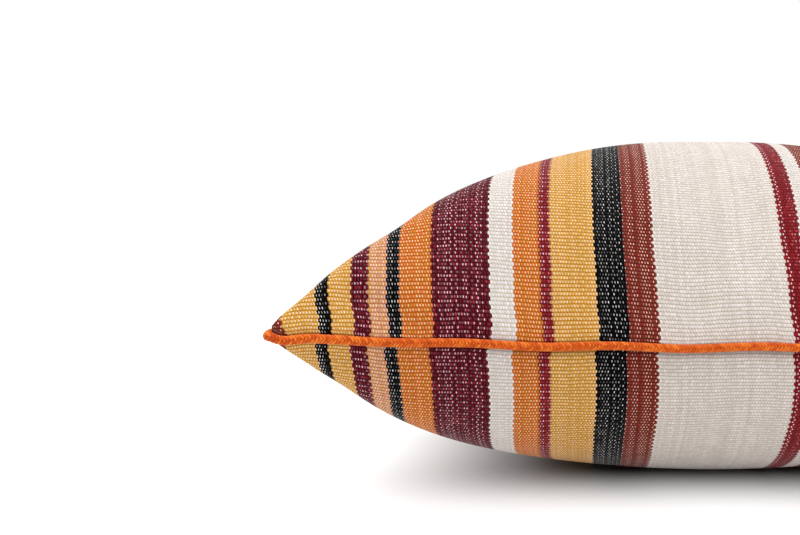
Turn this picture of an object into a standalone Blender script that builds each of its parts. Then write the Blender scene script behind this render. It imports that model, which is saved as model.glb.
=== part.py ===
"""Square outdoor cushion, sewn from two striped panels with a cord let into the seam.

It lies on its back: the crown is up, the seam runs round at about two fifths of the height,
and the lower panel is pressed flat where it meets the surface. Metres, +Z up, with the origin
on the surface under the middle of the cushion. X runs across the stripes and Y along them.
"""

import bmesh
import bpy
import numpy as np

# Driving dimensions of the sewn cover
CUT_SIDE = 0.500  # a panel laid flat, from seam to seam
TIP_REACH = 0.238  # middle of the cushion to a corner tip, along X and along Y
SIDE_REACH = 0.186  # middle of the cushion to the middle of a side, where the seam is drawn in most
TIP_ROUNDING = 0.0028  # how far the turned corner falls short of a sharp one, along X and along Y

# Driving dimensions of the filled shape
SEAM_HEIGHT = 0.090  # the seam over the surface, at the middle of a side
CORNER_LIFT = 0.0082  # the corner tips stand higher than that by this much
CORNER_DIP = 0.0030  # the seam sags by this much just before each tip
CROWN_RISE = 0.131  # middle of the upper panel over the seam
BELLY_DROP = 0.175  # how far the lower panel would hang under the seam with nothing beneath it
CONTACT_PRESS = 1.12  # over 1 presses the middle of the lower panel flat on the surface

# Driving dimensions of the cord in the seam
PIPING_DIAMETER = 0.0048
PIPING_CLEARANCE = 0.0009  # cord to seam line

# How the seam is drawn in, gathered, lifted and rounded along a side: the powers of the place on it,
# which is 0 at the middle of the side and 1 at a tip, and the place and width of the sag
DRAW_IN_POWER = 1.6
GATHER_POWER = 2.6
LIFT_POWER = 2.2
ROUNDING_POWER = 30
DIP_PLACE = 0.95
DIP_WIDTH = 0.045

# How each panel swells: draw_fade is how fast the draw-in dies away from the seam, steepness is the
# slope of the wall at the seam, ridge sharpens the fold over each corner, corner_fill plumps it
UPPER_PANEL = {"draw_fade": 2.9, "steepness": 1.89, "ridge": 3.0, "corner_fill": 1.05}
LOWER_PANEL = {"draw_fade": 3.7, "steepness": 1.33, "ridge": 1.85, "corner_fill": 0.38}
CORNER_FILL_POWER = 0.68
SURFACE_FIRMNESS = 3.0  # how sharply the lower panel turns into the flat that it lies on

# Mesh density
QUARTER_STEPS = 18  # faces along each side of a quarter of a panel
PIPING_STEPS = 28  # lengths of cord along each side
PIPING_ROUNDNESS = 2  # the cord's section has 4 sides, and 2 more for each one counted here
EDGE_CROWDING = 1.35  # over 1 crowds the faces toward the seam
PIPING_CROWDING = 1.6  # over 1 crowds the cord's lengths toward the tips

# Colours and finish, a stand-in of one colour for the striped cloth
STRIPED_CLOTH = (0.62, 0.36, 0.22, 1.0)
ORANGE_CORD = (0.76, 0.16, 0.03, 1.0)
CLOTH_ROUGHNESS = 0.85
CORD_ROUGHNESS = 0.75

HALF_CUT = CUT_SIDE / 2
TINY_SHARE = 1e-6  # keeps the wall's share of the rise above 0 on the seam itself
WELD_DISTANCE = 0.00001


def clear_scene():
    """Removes every object, so the cushion stands alone."""
    for item in list(bpy.data.objects):
        bpy.data.objects.remove(item, do_unlink=True)


def crowd_to_seam(place, crowding):
    """Moves evenly spaced places from -1 to 1 closer to the two seams at the ends."""
    return np.sign(place) * (1 - (1 - np.abs(place)) ** crowding)


def plan_coordinate(across, along, draw_fade):
    """X or Y of a point of the cover: across and along are its places, -1 to 1, on the flat panel."""
    gathered = TIP_REACH + (HALF_CUT - TIP_REACH) * (1 - np.abs(along) ** GATHER_POWER)
    draw_in = 1 - SIDE_REACH / HALF_CUT
    drawn = 1 - draw_in * (1 - np.abs(along) ** DRAW_IN_POWER) * np.abs(across) ** draw_fade
    rounded = 1 - TIP_ROUNDING / TIP_REACH * np.abs(across * along) ** ROUNDING_POWER
    return across * gathered * drawn * rounded


def seam_level(u, v):
    """Height of the seam, carried on inward as the level from which the panels rise and drop."""
    corner = np.abs(u * v)
    dip = CORNER_DIP * np.exp(-(((corner - DIP_PLACE) / DIP_WIDTH) ** 2))
    return SEAM_HEIGHT + CORNER_LIFT * corner**LIFT_POWER - dip


def wall_share(place, steepness):
    """Share of the full rise, 0 at the seam and 1 at the middle, where the cloth is level."""
    inward = 1 - np.abs(place)
    cubic = 2 * steepness - 2.5
    quintic = steepness - 1.5
    share = steepness * inward - cubic * inward**3 + quintic * inward**5
    return np.clip(share, TINY_SHARE, None)


def swell(u, v, panel):
    """Share of the full rise over the whole panel: the lesser of the two walls, blended on the ridge."""
    first = wall_share(u, panel["steepness"])
    second = wall_share(v, panel["steepness"])
    ridge = panel["ridge"]
    blend = (first**-ridge + second**-ridge - 1) ** (-1 / ridge)
    corner = np.clip((1 - first) * (1 - second), 0, None)
    plump = 1 + panel["corner_fill"] * corner**CORNER_FILL_POWER
    on_seam = np.maximum(np.abs(u), np.abs(v)) > 1 - TINY_SHARE
    return np.where(on_seam, 0.0, blend * plump)


def cover_point(u, v, panel):
    """Point of the filled cover for a place (u, v) on the flat upper or lower panel."""
    x = plan_coordinate(u, v, panel["draw_fade"])
    y = plan_coordinate(v, u, panel["draw_fade"])
    level = seam_level(u, v)
    if panel is UPPER_PANEL:
        return x, y, level + CROWN_RISE * swell(u, v, panel)
    hang = BELLY_DROP * swell(u, v, panel)
    # The surface stops the belly: well short of it the drop is the free hang, and then it levels out
    firmness = SURFACE_FIRMNESS
    room = CONTACT_PRESS * level
    drop = hang * room / (hang**firmness + room**firmness) ** (1 / firmness)
    return x, y, np.maximum(level - drop, 0.0)


def add_quarter(mesh, panel):
    """Adds the +X +Y quarter of a panel: a square grid whose points are moved to the filled shape.

    Each square is split along the line to the corner, so that its triangles follow the ridge.
    """
    steps = QUARTER_STEPS
    verts = bmesh.ops.create_grid(mesh, x_segments=steps, y_segments=steps, size=0.5)["verts"]
    faces = list({face for vert in verts for face in vert.link_faces})
    places = np.array([vert.co[:2] for vert in verts]) + 0.5
    u = crowd_to_seam(places[:, 0], EDGE_CROWDING)
    v = crowd_to_seam(places[:, 1], EDGE_CROWDING)
    for vert, point in zip(verts, np.stack(cover_point(u, v, panel), axis=1)):
        vert.co = point
    split = bmesh.ops.triangulate(mesh, faces=faces, quad_method="FIXED")
    if panel is LOWER_PANEL:
        bmesh.ops.reverse_faces(mesh, faces=split["faces"])


def make_cushion(collection):
    """The filled cover: a quarter of both panels, joined at the seam and mirrored about X and Y."""
    mesh = bmesh.new()
    add_quarter(mesh, UPPER_PANEL)
    add_quarter(mesh, LOWER_PANEL)
    bmesh.ops.remove_doubles(mesh, verts=mesh.verts, dist=WELD_DISTANCE)
    data = bpy.data.meshes.new("cushion")
    mesh.to_mesh(data)
    mesh.free()
    data.shade_smooth()
    cushion = bpy.data.objects.new("cushion", data)
    collection.objects.link(cushion)
    mirror = cushion.modifiers.new("Four quarters", "MIRROR")
    mirror.use_axis = (True, True, False)
    mirror.merge_threshold = WELD_DISTANCE
    return cushion


def seam_route():
    """Points of the cord's middle line: the seam, moved straight outward by the cord's own radius."""
    side = crowd_to_seam(np.linspace(-1, 1, PIPING_STEPS + 1)[:-1], PIPING_CROWDING)
    edge = np.ones_like(side)
    u = np.concatenate([side, edge, -side, -edge])
    v = np.concatenate([-edge, side, edge, -side])
    fade = UPPER_PANEL["draw_fade"]
    x = plan_coordinate(u, v, fade)
    y = plan_coordinate(v, u, fade)
    forward = np.stack([np.roll(x, -1) - x, np.roll(y, -1) - y])
    backward = np.roll(forward, 1, axis=1)
    forward /= np.linalg.norm(forward, axis=0)
    backward /= np.linalg.norm(backward, axis=0)
    tangent = forward + backward
    tangent /= np.linalg.norm(tangent, axis=0)
    offset = PIPING_DIAMETER / 2 + PIPING_CLEARANCE
    return np.stack([x + offset * tangent[1], y - offset * tangent[0], seam_level(u, v)], axis=1)


def make_piping(collection):
    """The cord in the seam: one closed ring of round section."""
    curve = bpy.data.curves.new("piping", "CURVE")
    curve.dimensions = "3D"
    curve.bevel_depth = PIPING_DIAMETER / 2
    curve.bevel_resolution = PIPING_ROUNDNESS
    route = seam_route()
    spline = curve.splines.new("POLY")
    spline.points.add(len(route) - 1)
    for point, place in zip(spline.points, route):
        point.co = (*place, 1.0)
    spline.use_cyclic_u = True
    spline.use_smooth = True
    piping = bpy.data.objects.new("piping", curve)
    collection.objects.link(piping)
    return piping


def plain_material(name, colour, roughness):
    """A cloth-like Principled material with one colour."""
    material = bpy.data.materials.new(name)
    material.use_nodes = True
    shader = material.node_tree.nodes["Principled BSDF"]
    shader.inputs["Base Color"].default_value = colour
    shader.inputs["Roughness"].default_value = roughness
    shader.inputs["Metallic"].default_value = 0.0
    return material


def build():
    """Makes the cushion and its cord, each with its own material, in one collection."""
    clear_scene()
    collection = bpy.data.collections.new("outdoor_cushion")
    bpy.context.scene.collection.children.link(collection)
    cushion = make_cushion(collection)
    cushion.data.materials.append(plain_material("striped_cloth", STRIPED_CLOTH, CLOTH_ROUGHNESS))
    piping = make_piping(collection)
    piping.data.materials.append(plain_material("orange_cord", ORANGE_CORD, CORD_ROUGHNESS))


build()
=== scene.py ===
"""Square outdoor cushion in a striped rep weave, with an orange braided cord sewn into its seam.

X runs across the stripes, Y along them, and the cushion lies on its back at z = 0, in metres.
"""

import bpy
import numpy as np
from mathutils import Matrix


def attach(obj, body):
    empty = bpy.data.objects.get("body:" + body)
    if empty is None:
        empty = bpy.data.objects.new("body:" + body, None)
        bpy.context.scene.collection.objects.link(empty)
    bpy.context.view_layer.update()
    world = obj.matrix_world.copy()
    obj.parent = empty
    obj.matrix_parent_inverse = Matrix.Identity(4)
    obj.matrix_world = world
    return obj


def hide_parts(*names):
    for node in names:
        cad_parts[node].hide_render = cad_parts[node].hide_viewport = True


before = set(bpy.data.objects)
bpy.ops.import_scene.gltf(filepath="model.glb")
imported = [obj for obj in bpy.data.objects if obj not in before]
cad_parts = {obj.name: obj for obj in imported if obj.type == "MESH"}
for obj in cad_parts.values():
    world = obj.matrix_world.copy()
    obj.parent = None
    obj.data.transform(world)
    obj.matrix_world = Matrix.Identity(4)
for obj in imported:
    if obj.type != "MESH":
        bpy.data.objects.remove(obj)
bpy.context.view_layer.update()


# Striped cover
# Two square panels of warp-faced rep, woven from thick solution-dyed yarn, sewn together all round
# and filled with fibre. The fill pulls the sides in, and the corners stay behind as flat tips.

CUT_SIDE = 0.500  # a panel laid flat, from seam to seam
HALF_CUT = CUT_SIDE / 2
TIP_REACH = 0.238  # middle of the cushion to a sharp corner, along X and along Y
SIDE_REACH = 0.186  # middle of the cushion to the middle of a side, where the seam is drawn in most
TIP_ROUNDING = 0.0028  # how far the turned corner falls short of the sharp one
TIP_PLACE = TIP_REACH - TIP_ROUNDING
SEAM_HEIGHT = 0.0892  # at the middle of a side
CORNER_LIFT = 0.0088  # the tips stand higher than that by this much
CROWN_RISE = 0.1328  # middle of the upper panel over the seam
BELLY_DROP = 0.158  # how far the lower panel would hang under the seam with nothing beneath it
CONTACT_PRESS = 1.186  # over 1 presses the middle of the lower panel flat on the surface
SURFACE_FIRMNESS = 2.38  # how sharply the lower panel turns into that flat

# How the seam is gathered, drawn in, rounded and lifted along a side: the powers of the place on it,
# which is 0 at the middle of the side and 1 at a tip
GATHER_POWER = 2.6
DRAW_IN_POWER = 1.6
ROUNDING_POWER = 30
LIFT_POWER = 1.75

# How each panel swells: draw_fade is how fast the draw-in dies away from the seam, steepness is the
# slope of the wall at the seam, ridge sharpens the fold over each corner, and corner_fill plumps it.
# The stripes are crowded toward the corners by the crowding, less what side_crowding and tip_crowding
# take off further out, and at the seam by SEAM_CROWDING, which dies away inward by crowding_fade.
# Each tip has a plump part of some height, and its dents are a share of those on the upper panel.
UPPER_PANEL = {"draw_fade": 1.85, "steepness": 1.80, "ridge": 2.68, "corner_fill": 1.10,
               "fill_power": 0.60, "crowding": 0.027, "side_crowding": 0.028, "tip_crowding": 0.24,
               "crowding_fade": 21.0,
               "tip_height": 0.0036, "tip_place": 0.0072, "tip_length": 0.042, "tip_width": 0.050,
               "dent_share": 1.0, "dent_nearness": 1.0}
LOWER_PANEL = {"draw_fade": 3.07, "steepness": 1.17, "ridge": 2.09, "corner_fill": 0.93,
               "fill_power": 1.13, "crowding": 0.136, "side_crowding": 0.0, "tip_crowding": 0.0,
               "crowding_fade": 1.2,
               "tip_height": 0.0012, "tip_place": 0.0020, "tip_length": 0.010, "tip_width": 0.020,
               "dent_share": 0.9, "dent_nearness": 0.53}
SEAM_CROWDING = 0.096
LAYING_ROUNDS = 6  # of spacing the cloth evenly across the stripes and then along them
LOWER_SHADE = 0.55  # the painted shadow of the cord reaches further in on the lower panel than on the upper one
PANEL_STEPS = 84
EDGE_CROWDING = 1.25  # over 1 crowds the faces toward the seam
UNDERSIDE_SHIFT = (0.0, 0.6)  # where the lower panel lies on the flat cloth, against the upper one
TINY_SHARE = 1e-6

# How each corner hangs, by its side along X and Y: the twist lifts the cloth on one side of the tip and
# lowers it on the other, and the dent is a shallow fold across the ridge at some distance from the tip
CORNERS = [
    {"side": (-1, -1), "twist": 0.62, "dent": 0.0016, "dent_place": 0.076},
    {"side": (1, -1), "twist": -0.38, "dent": 0.0028, "dent_place": 0.066},
    {"side": (1, 1), "twist": 0.44, "dent": 0.0017, "dent_place": 0.084},
    {"side": (-1, 1), "twist": -0.34, "dent": 0.0025, "dent_place": 0.072},
]
TWIST_REACH = 0.0090
DENT_WIDTH = 0.018
DENT_LENGTH = 0.045
UNEVEN_START = 0.0005  # the share of the rise at which plump tips and dents have half their height
TIP_PUSH = 0.0036
PUSH_REACH = 0.0090
PUSH_START = 0.01  # the share of the rise at which the push has half its length

# The seam rises and sinks a little along each pair of sides: how high a wave is, how long, and where
# along the side it starts, and the powers by which waves die away inward and toward the tips
SEAM_WAVES = [
    {"height": 0.00060, "length": 0.077, "start": -0.0104},
    {"height": 0.00055, "length": 0.091, "start": 0.0230},
]
WAVE_INWARD_POWER = 12
WAVE_TIP_POWER = 4


def plan_coordinate(across, along, draw_fade):
    """X or Y of a point of the cover: its place on the form, gathered along the seam and drawn in
    by a share that is greatest at the middle of a side and dies away inward."""
    gathered = TIP_REACH + (HALF_CUT - TIP_REACH) * (1 - np.abs(along) ** GATHER_POWER)
    draw_in = 1 - SIDE_REACH / HALF_CUT
    drawn = 1 - draw_in * (1 - np.abs(along) ** DRAW_IN_POWER) * np.abs(across) ** draw_fade
    rounded = 1 - TIP_ROUNDING / TIP_REACH * np.abs(across * along) ** ROUNDING_POWER
    return across * gathered * drawn * rounded


def swell(u, v, panel):
    """Share of the full rise: the lesser of the two walls' shares, blended over the corner ridge.
    Each wall's share is an odd quintic of the distance from the seam, level at the middle."""
    steepness, ridge = panel["steepness"], panel["ridge"]
    shares = []
    for place in (u, v):
        inward = 1 - np.abs(place)
        share = steepness * inward - (2 * steepness - 2.5) * inward**3
        shares.append(np.clip(share + (steepness - 1.5) * inward**5, TINY_SHARE, None))
    first, second = shares
    blend = (first**-ridge + second**-ridge - 1) ** (-1 / ridge)
    corner = np.clip((1 - first) * (1 - second), 0, None)
    plump = 1 + panel["corner_fill"] * corner ** panel["fill_power"]
    on_seam = np.maximum(np.abs(u), np.abs(v)) > 1 - TINY_SHARE
    return np.where(on_seam, 0.0, blend * plump)


def corner_unevenness(x, y, rise_share, panel):
    """Height that the four corners add to a panel: a twist round each diagonal, which dies away from
    the tip as a bell curve, a plump tip, and a dent across the ridge further in, both bell curves
    along and across the diagonal."""
    change = np.zeros_like(x)
    outward = rise_share / (rise_share + UNEVEN_START) * (1 if panel is UPPER_PANEL else -1)
    for corner in CORNERS:
        across, along = x * corner["side"][0], y * corner["side"][1]
        aside = (across - along) / np.sqrt(2)
        from_tip = (2 * TIP_PLACE - across - along) / np.sqrt(2)
        change += corner["twist"] * aside * np.exp(-(from_tip**2 + aside**2) / TWIST_REACH**2)
        plump = ((from_tip - panel["tip_place"]) / panel["tip_length"]) ** 2
        plump += (aside / panel["tip_width"]) ** 2
        dent_place = corner["dent_place"] * panel["dent_nearness"]
        dent = ((from_tip - dent_place) / DENT_WIDTH) ** 2 + (aside / DENT_LENGTH) ** 2
        dent_depth = corner["dent"] * panel["dent_share"]
        change += outward * (panel["tip_height"] * np.exp(-plump) - dent_depth * np.exp(-dent))
    return change


def seam_waves(u, v, x, y):
    """Height of the seam's waves: a sine along each side, which dies away inward and toward the tips."""
    height = np.zeros_like(x)
    for wave, reached, outward, tipward in zip(SEAM_WAVES, (x, y), (v, u), (u, v)):
        sine = np.sin(2 * np.pi * (reached - wave["start"]) / wave["length"])
        height += wave["height"] * sine * outward**WAVE_INWARD_POWER * (1 - tipward**WAVE_TIP_POWER)
    return height


def form_point(u, v, upper):
    """Point of the filled form for a place (u, v) on it, from -1 to 1 each way: the upper panel rises
    from the seam's level, and the lower one hangs from it until the surface stops it."""
    panel = UPPER_PANEL if upper else LOWER_PANEL
    x = plan_coordinate(u, v, panel["draw_fade"])
    y = plan_coordinate(v, u, panel["draw_fade"])
    level = SEAM_HEIGHT + CORNER_LIFT * np.abs(u * v) ** LIFT_POWER + seam_waves(u, v, x, y)
    rise_share = swell(u, v, panel)
    if upper:
        z = level + CROWN_RISE * rise_share
    else:
        hang = BELLY_DROP * rise_share
        room = CONTACT_PRESS * level
        firmness = SURFACE_FIRMNESS
        drop = hang * room / (hang**firmness + room**firmness) ** (1 / firmness)
        z = np.maximum(level - drop, 0.0)
    return np.stack([x, y, z + corner_unevenness(x, y, rise_share, panel)], axis=-1)


def spaced_anew(u, v, upper, share):
    """Moves the points of each line of the first axis along it, so that their distances from its
    middle, as a share of the whole line, become the wanted share, from -1 to 1."""
    points = form_point(u, v, upper)
    step = np.linalg.norm(np.diff(points, axis=0), axis=2)
    reached = np.concatenate([np.zeros((1, u.shape[1])), np.cumsum(step, axis=0)])
    reached = 2 * reached / reached[-1] - 1
    lines = range(u.shape[1])
    new_u = np.stack([np.interp(share[:, i], reached[:, i], u[:, i]) for i in lines], axis=1)
    new_v = np.stack([np.interp(share[:, i], reached[:, i], v[:, i]) for i in lines], axis=1)
    return new_u, new_v


def laid_out(c, d, upper):
    """Places (u, v) on the form of the cloth's places (c, d), from -1 to 1 each way: the cloth lies
    evenly along the stripes, and across them it is crowded toward the corners, most at the seam."""
    panel = UPPER_PANEL if upper else LOWER_PANEL
    inner = panel["crowding"] - panel["side_crowding"] * c**2 - panel["tip_crowding"] * c**8
    crowding = inner + (SEAM_CROWDING - inner) * np.abs(d) ** panel["crowding_fade"]
    share = c * (1 + crowding * (1 - c**2))
    u, v = share, d
    for _ in range(LAYING_ROUNDS):
        u, v = spaced_anew(u, v, upper, share)
        u, v = (line.T for line in spaced_anew(u.T, v.T, upper, d.T))
    return u, v


def over_the_cord(u, v):
    """Points of the upper panel, whose tips bulge outward along the diagonal, over the cord that turns
    round them: nothing at the seam itself, most a little above it, and less away from the tip."""
    points = form_point(u, v, True)
    beyond = TIP_PLACE - np.abs(points[..., :2])
    rise_share = swell(u, v, UPPER_PANEL)
    nearness = np.exp(-np.sum(beyond**2, axis=-1) / PUSH_REACH**2)
    push = TIP_PUSH * nearness * rise_share / (rise_share + PUSH_START)
    points[..., :2] += np.sign(points[..., :2]) * push[..., None] / np.sqrt(2)
    return points


def crowded_to_ends(place, crowding):
    """Evenly spaced places from -1 to 1, moved closer to both ends: the share of the way that is left
    to the nearer end is raised to a power."""
    return np.sign(place) * (1 - (1 - np.abs(place)) ** crowding)


def mark_points(mesh, name, value):
    """Gives each point of a mesh a number that its material reads by name."""
    marks = mesh.attributes.new(name, "FLOAT", "POINT")
    marks.data.foreach_set("value", value.astype(np.float32).ravel())


def cover_mesh(name):
    """Both panels as one closed mesh: two square grids that share the points of their rim. The flat
    panel's own coordinates, in metres, are its UV map. Gives the mesh and each panel's grid of points."""
    steps = PANEL_STEPS
    place = crowded_to_ends(np.linspace(-1, 1, steps + 1), EDGE_CROWDING)
    c, d = np.meshgrid(place, place, indexing="ij")
    number = np.arange((steps + 1) ** 2).reshape(steps + 1, steps + 1)
    inside = np.zeros_like(number, dtype=bool)
    inside[1:-1, 1:-1] = True
    lower_number = number.copy()
    lower_number[inside] = number.size + np.arange(inside.sum())
    top = over_the_cord(*laid_out(c, d, True)).reshape(-1, 3)
    bottom = form_point(*laid_out(c, d, False), False)[inside]
    flat = np.stack([c, d], axis=-1) * HALF_CUT

    def quads(index):
        """The corners of each face of a grid of points."""
        return np.stack([index[:-1, :-1], index[1:, :-1], index[1:, 1:], index[:-1, 1:]], axis=-1)

    upper_faces = quads(number).reshape(-1, 4)
    lower_faces = quads(lower_number)[..., ::-1].reshape(-1, 4)
    upper_uv = flat.reshape(-1, 2)[upper_faces]
    lower_uv = (flat - UNDERSIDE_SHIFT).reshape(-1, 2)[quads(number)[..., ::-1].reshape(-1, 4)]
    uv = np.concatenate([upper_uv, lower_uv]).reshape(-1)

    mesh = bpy.data.meshes.new(name)
    mesh.from_pydata(np.concatenate([top, bottom]).tolist(), [],
                     np.concatenate([upper_faces, lower_faces]).tolist())
    mesh.uv_layers.new(name="flat_cloth").uv.foreach_set("vector", uv.astype(np.float32))
    # The distance from the seam, which the material reads to paint the cord's shadow; it is shortened on
    # the lower panel, so there the painted shadow reaches further in
    from_seam = HALF_CUT * (1 - np.maximum(np.abs(c), np.abs(d)))
    from_seam = np.concatenate([from_seam.ravel(), LOWER_SHADE * from_seam[inside]])
    mark_points(mesh, "from_seam", from_seam)
    mesh.shade_smooth()
    return mesh, number, lower_number


def light(red, green, blue):
    """A colour as a screen shows it, each part from 0 to 255, turned into light by the usual curve of
    screens: a short straight start, and then a power of 2.4."""
    shown = np.array([red, green, blue]) / 255
    return (*np.where(shown <= 0.04045, shown / 12.92, ((shown + 0.055) / 1.055) ** 2.4), 1.0)


def node(tree, kind, *inputs, **settings):
    """The first output of a new node of a kind, with its first inputs fed from sockets or values."""
    made = tree.nodes.new("ShaderNode" + kind)
    for key, value in settings.items():
        setattr(made, key, value)
    for place, value in enumerate(inputs):
        if isinstance(value, bpy.types.NodeSocket):
            tree.links.new(value, made.inputs[place])
        elif value is not None:
            made.inputs[place].default_value = value
    return made.outputs[0]


def maths(tree, operation, *inputs, clamp=False):
    """The output of a Math node."""
    return node(tree, "Math", *inputs, operation=operation, use_clamp=clamp)


def mixed(tree, share, first, second):
    """The colour between two others. The inputs in between are the Mix node's for other kinds."""
    inputs = (share, None, None, None, None, None, first, second)
    return node(tree, "Mix", *inputs, data_type="RGBA").node.outputs[2]


def scaled(tree, colour, factor):
    """A colour made lighter or darker by a factor."""
    return node(tree, "VectorMath", colour, None, None, factor, operation="SCALE")


def faded(tree, value, start, end):
    """A soft step: 0 up to the start, 1 from the end on, or the other way round."""
    return node(tree, "MapRange", value, start, end, interpolation_type="SMOOTHSTEP")


def noise(tree, where, scale, detail, dimensions="2D"):
    """The value of a Noise node."""
    return node(tree, "TexNoise", where, None, scale, detail, noise_dimensions=dimensions)


def new_material(name):
    """A new material with its node tree and its shader."""
    material = bpy.data.materials.new(name)
    material.use_nodes = True
    return material, material.node_tree, material.node_tree.nodes["Principled BSDF"]


def raise_relief(tree, shader, height, strength, distance):
    """Feeds a height through a Bump node to the shader's normal."""
    bump = tree.nodes.new("ShaderNodeBump")
    bump.inputs["Strength"].default_value = strength
    bump.inputs["Distance"].default_value = distance
    tree.links.new(height, bump.inputs["Height"])
    tree.links.new(bump.outputs[0], shader.inputs["Normal"])


COLUMN_PITCH = 0.0015115  # from one yarn to the next
ROW_PITCH = 0.00225  # from one row of floats to the next
INTERLOCK = 0.11  # how far the middle of a float reaches into the next row, in row pitches
TWIST_LEAN = 0.14  # how far a ply leans aside over a whole row, in column pitches
WANDER_SCALE = 55.0
WANDER = (0.0007, 0.0012, 0.0)  # how far yarns and rows stray over the noise's whole range
FLOAT_ROUNDING = 0.6  # under 1 gives each ply a fuller back and a steeper side
# The two plies that show in a float and the bright fleck on the second: where the middle lies across
# the float, and half the width and length, all in column and row pitches. Each fades in from the outer
# value of the oval to the inner one.
MAIN_PLY = {"centre": -0.16, "width": 0.33, "length": 0.50, "outer": 1.25, "inner": 0.70}
SECOND_PLY = {"centre": 0.27, "width": 0.21, "length": 0.46, "outer": 1.30, "inner": 0.70}
FLECK = {"centre": 0.26, "width": 0.17, "length": 0.29, "outer": 1.35, "inner": 0.55}


def weave_group():
    """Rep weave on flat cloth in metres: floats of warp yarn stand in rows, each row set off by half
    a column from the next and locked into it with a zigzag edge, and each float shows two slanting
    plies side by side. Puts out where the middle of the float lies across the stripes, a random value
    of its yarn and one of its own, the masks of both plies and of the fleck, and the relief."""
    group = bpy.data.node_groups.new("rep_weave", "ShaderNodeTree")
    group.interface.new_socket("Cloth", in_out="INPUT", socket_type="NodeSocketVector")
    for name in ("Middle", "Yarn", "Float", "Main", "Second", "Fleck", "Relief"):
        group.interface.new_socket(name, in_out="OUTPUT", socket_type="NodeSocketFloat")
    given = group.nodes.new("NodeGroupInput").outputs[0]
    made = group.nodes.new("NodeGroupOutput")

    def column_of(row):
        """The number of the yarn at this point in a row, and the place across its float."""
        half = maths(group, "MULTIPLY", maths(group, "FLOORED_MODULO", row, 2.0), 0.5)
        shifted = maths(group, "ADD", across, half)
        column = maths(group, "FLOOR", shifted)
        place = maths(group, "SUBTRACT", maths(group, "SUBTRACT", shifted, column), 0.5)
        return maths(group, "SUBTRACT", column, half), place

    def oval(shape):
        """The square of how far out of a slanting oval a point is: 0 at its middle, 1 on its rim."""
        aside = maths(group, "DIVIDE", maths(group, "SUBTRACT", leaning, shape["centre"]), shape["width"])
        beyond = maths(group, "DIVIDE", y, shape["length"])
        squares = [maths(group, "MULTIPLY", part, part) for part in (aside, beyond)]
        return maths(group, "ADD", *squares)

    def mask(value, shape):
        """1 well inside an oval and 0 well outside it."""
        return faded(group, value, shape["outer"], shape["inner"])

    wander = noise(group, given, WANDER_SCALE, 2.0).node.outputs[1]
    sway = node(group, "VectorMath", wander, (0.5, 0.5, 0.5), operation="SUBTRACT")
    moved = node(group, "VectorMath", sway, WANDER, given, operation="MULTIPLY_ADD")
    parts = node(group, "SeparateXYZ", moved).node
    across = maths(group, "DIVIDE", parts.outputs[0], COLUMN_PITCH)
    along = maths(group, "DIVIDE", parts.outputs[1], ROW_PITCH)
    row = maths(group, "FLOOR", along)
    y = maths(group, "SUBTRACT", maths(group, "SUBTRACT", along, row), 0.5)
    _, x = column_of(row)
    # Past the zigzag edge, the point belongs to the float that reaches in from the next row
    from_row = maths(group, "ABSOLUTE", y)
    edge = maths(group, "MULTIPLY_ADD", maths(group, "ABSOLUTE", x), 4 * INTERLOCK, from_row)
    taken = maths(group, "GREATER_THAN", edge, 0.5 + INTERLOCK)
    row = maths(group, "MULTIPLY_ADD", maths(group, "SIGN", y), taken, row)
    y = maths(group, "SUBTRACT", maths(group, "SUBTRACT", along, row), 0.5)
    yarn_number, x = column_of(row)
    leaning = maths(group, "MULTIPLY_ADD", y, TWIST_LEAN, x)

    spot = node(group, "CombineXYZ", yarn_number, row, 0.0)
    main, second = oval(MAIN_PLY), oval(SECOND_PLY)
    dome = maths(group, "SUBTRACT", 1.0, maths(group, "MINIMUM", main, second), clamp=True)
    results = {
        "Middle": maths(group, "MULTIPLY", maths(group, "ADD", yarn_number, 0.5), COLUMN_PITCH),
        "Yarn": node(group, "TexWhiteNoise", None, yarn_number, noise_dimensions="1D"),
        "Float": node(group, "TexWhiteNoise", spot, noise_dimensions="2D"),
        "Main": mask(main, MAIN_PLY),
        "Second": mask(second, SECOND_PLY),
        "Fleck": mask(oval(FLECK), FLECK),
        "Relief": maths(group, "POWER", dome, FLOAT_ROUNDING),
    }
    for name, socket in results.items():
        group.links.new(socket, made.inputs[name])
    return group


# The two plies of each kind of stripe, the colour that shows between them, which is partly the yarn beneath
# and partly painted shade in the grooves, the bright flecks, and the share of the floats that have one
YARNS = {
    "rust": {"main": (124, 34, 26), "second": (114, 64, 47), "shaded_gap": (54, 16, 11),
             "fleck": (234, 204, 184), "share": 0.34},
    "gold": {"main": (208, 152, 54), "second": (208, 164, 88), "shaded_gap": (152, 90, 24),
             "fleck": (230, 224, 216), "share": 0.66},
    "black": {"main": (4, 4, 4), "second": (5, 5, 6), "shaded_gap": (1, 1, 1),
              "fleck": (242, 240, 238), "share": 0.22},
    "burgundy": {"main": (118, 23, 37), "second": (20, 12, 18), "shaded_gap": (5, 3, 6),
                 "fleck": (236, 228, 234), "share": 0.28},
    "pink": {"main": (202, 144, 74), "second": (218, 158, 160), "shaded_gap": (148, 84, 55),
             "fleck": (230, 218, 220), "share": 0.46},
    "orange": {"main": (202, 97, 25), "second": (198, 138, 45), "shaded_gap": (136, 69, 18),
               "fleck": (236, 220, 188), "share": 0.54},
    "white": {"main": (216, 208, 206), "second": (214, 206, 202), "shaded_gap": (165, 152, 123),
              "fleck": (228, 222, 226), "share": 0.30},
    "crimson": {"main": (142, 30, 36), "second": (102, 23, 27), "shaded_gap": (45, 7, 10),
                "fleck": (248, 232, 238), "share": 0.28},
    "ivory": {"main": (214, 205, 202), "second": (210, 198, 188), "shaded_gap": (158, 145, 115),
              "fleck": (226, 218, 222), "share": 0.30},
}

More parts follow.
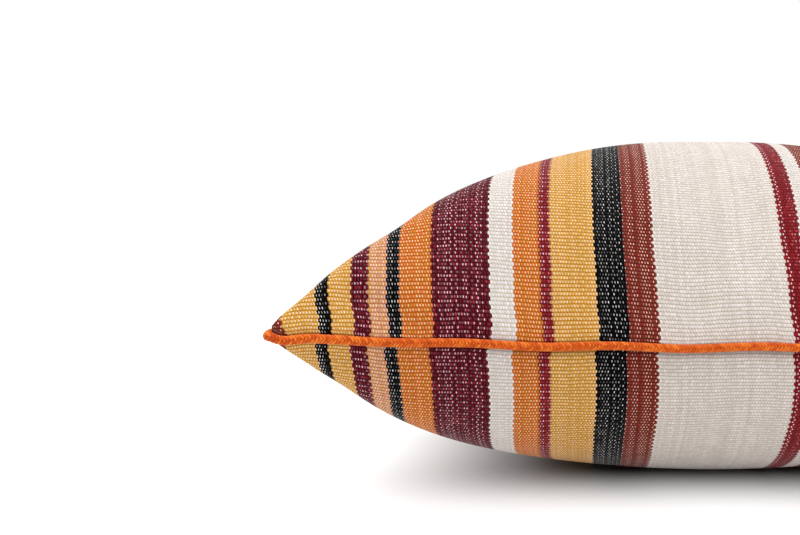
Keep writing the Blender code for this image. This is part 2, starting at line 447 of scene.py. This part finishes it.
# Where each stripe starts, in mm across the flat panel
STRIPES = [
    ("rust", -250.0), ("gold", -236.6), ("black", -219.8), ("gold", -213.0), ("burgundy", -200.3),
    ("pink", -191.7), ("black", -181.7), ("orange", -174.7), ("burgundy", -158.0),
    ("white", -127.9), ("orange", -115.3), ("crimson", -101.7), ("gold", -95.4),
    ("black", -71.8), ("rust", -56.6), ("ivory", -40.2), ("crimson", 27.5), ("white", 37.5),
    ("rust", 45.0), ("black", 63.0), ("gold", 70.0), ("crimson", 94.0), ("orange", 102.0),
    ("white", 120.0), ("burgundy", 132.0), ("gold", 162.0), ("black", 181.0),
    ("pink", 188.0), ("crimson", 200.0), ("orange", 208.0), ("rust", 226.0),
]


def stripe_number(tree, middle):
    """Which stripe a place across the cloth, in metres, lies in: how many stripes start before it,
    and half a stripe, as a share of all."""
    count = maths(tree, "GREATER_THAN", middle, STRIPES[1][1] / 1000)
    for _, start in STRIPES[2:]:
        count = maths(tree, "ADD", maths(tree, "GREATER_THAN", middle, start / 1000), count)
    return maths(tree, "MULTIPLY_ADD", count, 1 / len(STRIPES), 0.5 / len(STRIPES))


def by_stripe(tree, number, what, share=None):
    """One colour of each stripe, and if asked a share in its alpha, picked by the stripe's number."""
    ramp_node = node(tree, "ValToRGB", number).node
    ramp = ramp_node.color_ramp
    ramp.interpolation = "CONSTANT"
    while len(ramp.elements) > 1:
        ramp.elements.remove(ramp.elements[-1])
    for place, (kind, _) in enumerate(STRIPES):
        step = ramp.elements[0] if place == 0 else ramp.elements.new(place / len(STRIPES))
        step.position = place / len(STRIPES)
        step.color = (*light(*YARNS[kind][what])[:3], YARNS[kind][share] if share else 1.0)
    return ramp_node.outputs


# How uneven the yarn is. A float whose own random value is above the first number has two plies of
# the same colour. The main ply is as bright as its least shade and what the float and its yarn add.
# The chance of a fleck comes from the float and from its yarn, and it shows the more, the further
# the chance and the stripe's share reach up the soft step.
ALIKE_ABOVE = 0.72
LEAST_SHADE = 0.82
FLOAT_SHADE = 0.16
YARN_SHADE = 0.20
FLOAT_CHANCE = 0.30
YARN_CHANCE = 0.70
FLECK_STEP = (0.50, 1.25)
FLECK_POWER = 1.5

# Fine fibre and a wider change of tone over the cloth, each with the size of its noise and what it
# adds to the least tone. Near the seam the colour is darkened over a distance with painted shadow of the
# cord.
FIBRE_SCALE = 2600.0
FIBRE_SHARE = 0.16
TONE_SCALE = 70.0
TONE_SHARE = 0.12
LEAST_TONE = 0.86
SEAM_SHADOW_START = -0.0005
SEAM_SHADOW_REACH = 0.0045
SEAM_SHADOW_DARKEST = 0.25


def cover_material():
    """Matt woven cloth: two plies side by side in each float, a pale fleck on the second one where the
    yarn's white ply comes up, and between the floats a deeper colour, partly the yarn beneath and partly
    painted shade. Along the seam, painted shadow of the cord darkens the cloth."""
    material, tree, shader = new_material("striped_rep_weave")
    flat = node(tree, "UVMap", uv_map="flat_cloth")
    weave = tree.nodes.new("ShaderNodeGroup")
    weave.node_tree = weave_group()
    tree.links.new(flat, weave.inputs[0])
    middle, yarn, single, on_main, on_second, on_fleck, relief = weave.outputs[:]
    number = stripe_number(tree, middle)
    main, fleck_share = by_stripe(tree, number, "main", "share")
    second = by_stripe(tree, number, "second")[0]
    # Between the floats: a deeper colour, partly the yarn beneath and partly painted shade in the grooves
    shaded_gap = by_stripe(tree, number, "shaded_gap")[0]
    bright = by_stripe(tree, number, "fleck")[0]

    alike = maths(tree, "GREATER_THAN", single, ALIKE_ABOVE)
    second = mixed(tree, alike, second, main)
    yarn_shade = maths(tree, "MULTIPLY_ADD", yarn, YARN_SHADE, LEAST_SHADE)
    shade = maths(tree, "MULTIPLY_ADD", single, FLOAT_SHADE, yarn_shade)
    main = scaled(tree, main, shade)
    colour = mixed(tree, on_main, shaded_gap, main)
    colour = mixed(tree, on_second, colour, second)
    yarn_chance = maths(tree, "MULTIPLY", yarn, YARN_CHANCE)
    chance = maths(tree, "MULTIPLY_ADD", single, FLOAT_CHANCE, yarn_chance)
    above = maths(tree, "ADD", chance, fleck_share)
    paleness = maths(tree, "POWER", faded(tree, above, *FLECK_STEP), FLECK_POWER)
    strength = maths(tree, "MULTIPLY", paleness, on_fleck)
    colour = mixed(tree, strength, colour, bright)
    fibre = noise(tree, flat, FIBRE_SCALE, 1.0)
    tone = noise(tree, flat, TONE_SCALE, 2.0)
    wide_tone = maths(tree, "MULTIPLY_ADD", tone, TONE_SHARE, LEAST_TONE)
    uneven = maths(tree, "MULTIPLY_ADD", fibre, FIBRE_SHARE, wide_tone)
    # Painted shadow of the cord: the colour darkens toward the seam
    from_seam = node(tree, "Attribute", attribute_name="from_seam").node.outputs[2]
    clear_of_seam_shadow = faded(tree, from_seam, SEAM_SHADOW_START, SEAM_SHADOW_REACH)
    seam_shade = maths(tree, "MULTIPLY_ADD", clear_of_seam_shadow, 1 - SEAM_SHADOW_DARKEST, SEAM_SHADOW_DARKEST)
    uneven = maths(tree, "MULTIPLY", uneven, seam_shade)
    tree.links.new(scaled(tree, colour, uneven), shader.inputs["Base Color"])

    shader.inputs["Roughness"].default_value = 0.85
    shader.inputs["Specular IOR Level"].default_value = 0.04
    shader.inputs["Sheen Weight"].default_value = 0.16
    shader.inputs["Sheen Roughness"].default_value = 0.30
    raise_relief(tree, shader, relief, 0.7, 0.0004)
    return material


SIMULATION_FRAMES = 20
MOST_MOVED = 0.0045
KEPT_SHARE = 0.6  # of the movement that is left without the swell
SWELL_PASSES = 120
LIFT_FROM_FLAT = 0.006  # the height over the surface from which the full unevenness shows


def points_of(mesh):
    """The points of a mesh, a row for each."""
    flat = np.empty(len(mesh.vertices) * 3, np.float32)
    mesh.vertices.foreach_get("co", flat)
    return flat.reshape(-1, 3).astype(float)


def simulated_move(cover, rim):
    """How far each point moves when the cover is blown up a little with Blender's cloth, sewn fast at
    the seam, with the length of each movement capped."""
    seam = cover.vertex_groups.new(name="seam")
    seam.add(rim.tolist(), 1.0, "REPLACE")
    cloth = cover.modifiers.new("Cloth", "CLOTH")
    settings = cloth.settings
    settings.quality = 6
    settings.mass = 0.4
    settings.tension_stiffness = settings.compression_stiffness = 40
    settings.shear_stiffness = 15
    settings.bending_stiffness = 3
    settings.use_pressure = True
    settings.uniform_pressure_force = 4
    settings.shrink_min = -0.012
    settings.vertex_group_mass = "seam"
    settings.effector_weights.gravity = 0
    cloth.point_cache.frame_start = 1
    cloth.point_cache.frame_end = SIMULATION_FRAMES
    start = points_of(cover.data)
    for number in range(1, SIMULATION_FRAMES + 1):
        bpy.context.scene.frame_set(number)
    move = points_of(cover.evaluated_get(bpy.context.evaluated_depsgraph_get()).data) - start
    cover.modifiers.remove(cloth)
    bpy.context.scene.frame_set(1)
    length = np.linalg.norm(move, axis=1, keepdims=True) + 1e-9
    return move * MOST_MOVED * np.tanh(length / MOST_MOVED) / length


def without_swell(move):
    """What is left of a panel's movement when its own wide blur, fixed at the seam, is taken away.
    Each pass of the blur makes a point half itself and half the mean of the four beside it."""
    swell_part = move.copy()
    for _ in range(SWELL_PASSES):
        beside = swell_part[:-2, 1:-1] + swell_part[2:, 1:-1] + swell_part[1:-1, :-2] + swell_part[1:-1, 2:]
        swell_part[1:-1, 1:-1] = (beside + 4 * swell_part[1:-1, 1:-1]) / 8
    return move - swell_part


def settle_cloth(cover, panels):
    """Gives the cover the small unevenness of filled cloth from the simulation. The form has its full
    swell already, so that part of the movement is left out, and the tips and the flat underside stay
    as they are."""
    upper, lower = panels
    rim = np.concatenate([upper[0], upper[-1], upper[1:-1, 0], upper[1:-1, -1]])
    start = points_of(cover.data)
    move = simulated_move(cover, rim)
    uneven = np.zeros_like(move)
    place = np.abs(np.linspace(-1, 1, len(upper)))
    held_tips = 1 - np.outer(place, place) ** 4
    for panel in (upper, lower):
        uneven[panel] = without_swell(move[panel]) * held_tips[..., None]
    uneven *= KEPT_SHARE * np.clip(start[:, 2:] / LIFT_FROM_FLAT, 0, 1)
    ended = start + uneven
    ended[:, 2] = np.maximum(ended[:, 2], 0.0)
    cover.data.vertices.foreach_set("co", ended.astype(np.float32).ravel())
    cover.data.update()


def placed(name, data):
    """A new object in the scene, at the origin."""
    made = bpy.data.objects.new(name, data)
    bpy.context.scene.collection.objects.link(made)
    return made


mesh, *panels = cover_mesh("cushion_cover")
cover = placed("cushion_cover", mesh)
cover.data.materials.append(cover_material())
settle_cloth(cover, panels)
smooth = cover.modifiers.new("Finer cloth", "SUBSURF")
smooth.levels = smooth.render_levels = 1
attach(cover, "root")
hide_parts("cushion")


# Cord in the seam
# Braided orange cord, 4.8 mm thick, laid all round between the panels and sewn in with them.
# It stands proud of the seam and bends tight round each tip.

CORD_RADIUS = 0.0024
CORD_SINK = 0.0006  # how far it sinks in between the panels
CORD_STATIONS = 6200
CORD_SIDES = 16
ROUTE_STEPS = 900  # along each side of the cushion, before the stations are spaced evenly
ROUTE_CROWDING = 1.5
ROUTE_SMOOTHING = 6
STRAND_PITCH = 0.0017
STRAND_COLUMNS = 4
STRAND_LEAN = 1.35
STRAND_RELIEF = 0.00030
RIDGE_POWER = 0.8  # under 1 gives a strand a fuller back
CROWN_POWER = 0.5
CROWN_SHARE = 0.3  # how much less proud a strand is at its ends
STRAND_TONES = 997
BRAID_TURNS = [(0.022, 23), (0.014, 57)]  # how far round the braid wanders, and how often on its way round


def cord_route():
    """The cord's middle line: the seam, moved straight outward by its radius less what sinks in,
    and read off at even distances. Gives the line and its length."""
    side = crowded_to_ends(np.linspace(-1, 1, ROUTE_STEPS + 1)[:-1], ROUTE_CROWDING)
    edge = np.ones_like(side)
    u = np.concatenate([side, edge, -side, -edge])
    v = np.concatenate([-edge, side, edge, -side])
    x, y, z = np.moveaxis(form_point(u, v, True), -1, 0)
    ahead = np.stack([np.roll(x, -1) - x, np.roll(y, -1) - y])
    behind = np.roll(ahead, 1, axis=1)
    tangent = ahead / np.linalg.norm(ahead, axis=0) + behind / np.linalg.norm(behind, axis=0)
    tangent /= np.linalg.norm(tangent, axis=0)
    offset = CORD_RADIUS - CORD_SINK
    route = np.stack([x + offset * tangent[1], y - offset * tangent[0], z], axis=1)
    for _ in range(ROUTE_SMOOTHING):
        route = (np.roll(route, 1, axis=0) + 2 * route + np.roll(route, -1, axis=0)) / 4
    step = np.linalg.norm(np.roll(route, -1, axis=0) - route, axis=1)
    reached = np.concatenate([[0.0], np.cumsum(step)])
    route = np.concatenate([route, route[:1]])
    wanted = np.arange(CORD_STATIONS) / CORD_STATIONS * reached[-1]
    return np.stack([np.interp(wanted, reached, route[:, axis]) for axis in range(3)], axis=1), reached[-1]


def cord_mesh(name):
    """A round tube along the route, closed on itself. Its radius follows the braid: round the tube,
    columns of short slanting strands lean one way and the other in turn."""
    route, length = cord_route()
    ahead = np.roll(route, -1, axis=0) - np.roll(route, 1, axis=0)
    ahead /= np.linalg.norm(ahead, axis=1, keepdims=True)
    out = np.stack([ahead[:, 1], -ahead[:, 0], np.zeros(len(ahead))], axis=1)
    out /= np.linalg.norm(out, axis=1, keepdims=True)
    up = np.cross(out, ahead)
    turn = np.arange(CORD_SIDES) / CORD_SIDES
    along = np.arange(CORD_STATIONS) / CORD_STATIONS
    s, t = np.meshgrid(along, turn, indexing="ij")
    repeats = round(length / STRAND_PITCH)
    turned = t + sum(far * np.sin(2 * np.pi * times * s + times) for far, times in BRAID_TURNS)
    column = turned * STRAND_COLUMNS
    within = column - np.floor(column) - 0.5
    lean = np.where(np.floor(column) % 2 == 0, 1.0, -1.0)
    strand = s * repeats + lean * within * STRAND_LEAN
    ridge = np.abs(np.sin(np.pi * strand)) ** RIDGE_POWER
    crown = np.cos(np.pi * within) ** CROWN_POWER
    proud = ridge * (1 - CROWN_SHARE + CROWN_SHARE * crown)
    radius = CORD_RADIUS - STRAND_RELIEF * (1 - proud)
    angle = 2 * np.pi * t
    points = route[:, None] + radius[..., None] * (
        np.cos(angle)[..., None] * out[:, None] + np.sin(angle)[..., None] * up[:, None])
    number = np.arange(s.size).reshape(s.shape)
    next_station, next_side = np.roll(number, -1, axis=0), np.roll(number, -1, axis=1)
    both = np.roll(next_station, -1, axis=1)
    faces = np.stack([number, next_station, both, next_side], axis=-1).reshape(-1, 4)
    mesh = bpy.data.meshes.new(name)
    mesh.from_pydata(points.reshape(-1, 3).tolist(), [], faces.tolist())
    tone = np.random.default_rng(5).random(STRAND_TONES)
    which = (np.floor(strand) * STRAND_COLUMNS + np.floor(column)).astype(int) % STRAND_TONES
    mark_points(mesh, "strand", proud)
    mark_points(mesh, "strand_tone", tone[which])
    mesh.shade_smooth()
    return mesh


# From the deep colour between the strands, painted shade, to the bright one on top of them, a painted
# highlight
CORD_COLOURS = [(0.0, (112, 34, 5)), (0.55, (198, 79, 16)), (1.0, (234, 142, 50))]
# What a strand's own tone, how proud it stands and the grain of its fibre add to the place in those
# colours, from a start below them. What the proud part adds paints shade between the strands and light on
# their tops.
STRAND_TONE_SHARE = 0.36
RELIEF_SHADE_SHARE = 0.58
GRAIN_SHARE = 0.6
COLOUR_START = -0.29
GRAIN_SCALE = 900.0


def cord_material():
    """Dyed braid: bright orange on top of the strands, a painted highlight, and deeper between them,
    painted shade, with fine fibre in the light.
    """
    material, tree, shader = new_material("orange_braid")
    proud = node(tree, "Attribute", attribute_name="strand").node.outputs[2]
    place = node(tree, "TexCoord").node.outputs[3]
    grain = noise(tree, place, GRAIN_SCALE, 2.0, "3D")
    tone = node(tree, "Attribute", attribute_name="strand_tone").node.outputs[2]
    # How proud a strand stands paints shade between the strands and a highlight on their tops
    relief_shaded = maths(tree, "MULTIPLY_ADD", proud, RELIEF_SHADE_SHARE, COLOUR_START)
    level = maths(tree, "MULTIPLY_ADD", tone, STRAND_TONE_SHARE, relief_shaded)
    level = maths(tree, "MULTIPLY_ADD", grain, GRAIN_SHARE, level, clamp=True)
    ramp = node(tree, "ValToRGB", level).node
    (_, deep), (middle_place, middle), (_, bright) = CORD_COLOURS
    ramp.color_ramp.elements[0].color = light(*deep)
    ramp.color_ramp.elements[1].color = light(*bright)
    ramp.color_ramp.elements.new(middle_place).color = light(*middle)
    tree.links.new(ramp.outputs[0], shader.inputs["Base Color"])
    shader.inputs["Roughness"].default_value = 0.7
    shader.inputs["Specular IOR Level"].default_value = 0.12
    shader.inputs["Sheen Weight"].default_value = 0.03
    raise_relief(tree, shader, grain, 0.5, 0.0002)
    return material


cord = placed("seam_cord", cord_mesh("seam_cord"))
cord.data.materials.append(cord_material())
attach(cord, "root")
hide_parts("piping")


# Floor
# A plain white floor that glows, a painted light that keeps it white, but for a rounded square under the
# cushion, where the glow fades out and leaves a painted contact shadow. The square is longer across the
# stripes.

FLOOR_REACH = 20.0
FLOOR_GREY = (0.35, 0.35, 0.35, 1.0)
FLOOR_GLOW = 0.75
GLOW_STEP = (0.060, 0.185)  # how far from the middle the glow starts, and where it is full
SQUARE_POWER = 4.0
SQUARE_SQUEEZE = 0.68

floor_mesh = bpy.data.meshes.new("floor")
floor_points = [(x * FLOOR_REACH, y * FLOOR_REACH, 0) for x, y in ((-1, -1), (1, -1), (1, 1), (-1, 1))]
floor_mesh.from_pydata(floor_points, [], [(0, 1, 2, 3)])
floor = placed("floor", floor_mesh)
floor_paint, floor_tree, floor_shader = new_material("white_floor")
floor_shader.inputs["Base Color"].default_value = FLOOR_GREY
floor_shader.inputs["Roughness"].default_value = 0.9
floor_shader.inputs["Specular IOR Level"].default_value = 0.1
place = node(floor_tree, "SeparateXYZ", node(floor_tree, "TexCoord").node.outputs[3]).node
powers = []
for part in (maths(floor_tree, "MULTIPLY", place.outputs[0], SQUARE_SQUEEZE), place.outputs[1]):
    powers.append(maths(floor_tree, "POWER", maths(floor_tree, "ABSOLUTE", part), SQUARE_POWER))
away = maths(floor_tree, "POWER", maths(floor_tree, "ADD", *powers), 1 / SQUARE_POWER)
# The glow is painted light; where it fades near the cushion, it paints the spread of the contact shadow
glowing = maths(floor_tree, "MULTIPLY", faded(floor_tree, away, *GLOW_STEP), FLOOR_GLOW)
floor_tree.links.new(glowing, floor_shader.inputs["Emission Strength"])
floor_shader.inputs["Emission Color"].default_value = (1.0, 1.0, 1.0, 1.0)
floor_mesh.materials.append(floor_paint)


# Light
# Soft studio light from all round overhead, strongest straight above and nothing at the horizon, and
# a faint glow from the table. The camera sees plain white behind the cushion.

ZENITH_LIGHT = 2.85
HORIZON_FADE = 1.25
TABLE_GLOW = 0.5
TABLE_GLOW_SIZE = 3.0
TABLE_GLOW_HEIGHT = 0.0004

world = bpy.data.worlds.new("studio")
bpy.context.scene.world = world
world.use_nodes = True
sky = world.node_tree
toward = node(sky, "SeparateXYZ", node(sky, "TexCoord")).node.outputs[2]
upward = maths(sky, "MAXIMUM", toward, 0.0)
dome = maths(sky, "MULTIPLY", maths(sky, "POWER", upward, HORIZON_FADE), ZENITH_LIGHT)
seen = node(sky, "LightPath")
sky.links.new(maths(sky, "MAXIMUM", dome, seen), sky.nodes["Background"].inputs["Strength"])
sky.nodes["Background"].inputs["Color"].default_value = (1.0, 1.0, 1.0, 1.0)
bpy.context.scene.view_settings.view_transform = "Standard"

glow = bpy.data.lights.new("table_glow", "AREA")
glow.shape = "SQUARE"
glow.size = TABLE_GLOW_SIZE
glow.energy = TABLE_GLOW
lamp = placed("table_glow", glow)
lamp.location = (0.0, 0.0, TABLE_GLOW_HEIGHT)
lamp.rotation_euler = (np.pi, 0.0, 0.0)
lamp.visible_camera = False


# Camera
# Level and close, in front of the near side and left of the middle, as the photograph was taken.

camera_data = bpy.data.cameras.new("camera")
camera_data.lens = 43.8
camera_data.sensor_width = 36.0
camera_data.shift_x = -0.209
camera_data.shift_y = 0.018
camera_data.clip_start = 0.01
camera = placed("camera", camera_data)
camera.location = (-0.092, -0.7064, 0.1243)
camera.rotation_euler = (np.pi / 2, 0.0, 0.0)
bpy.context.scene.camera = camera
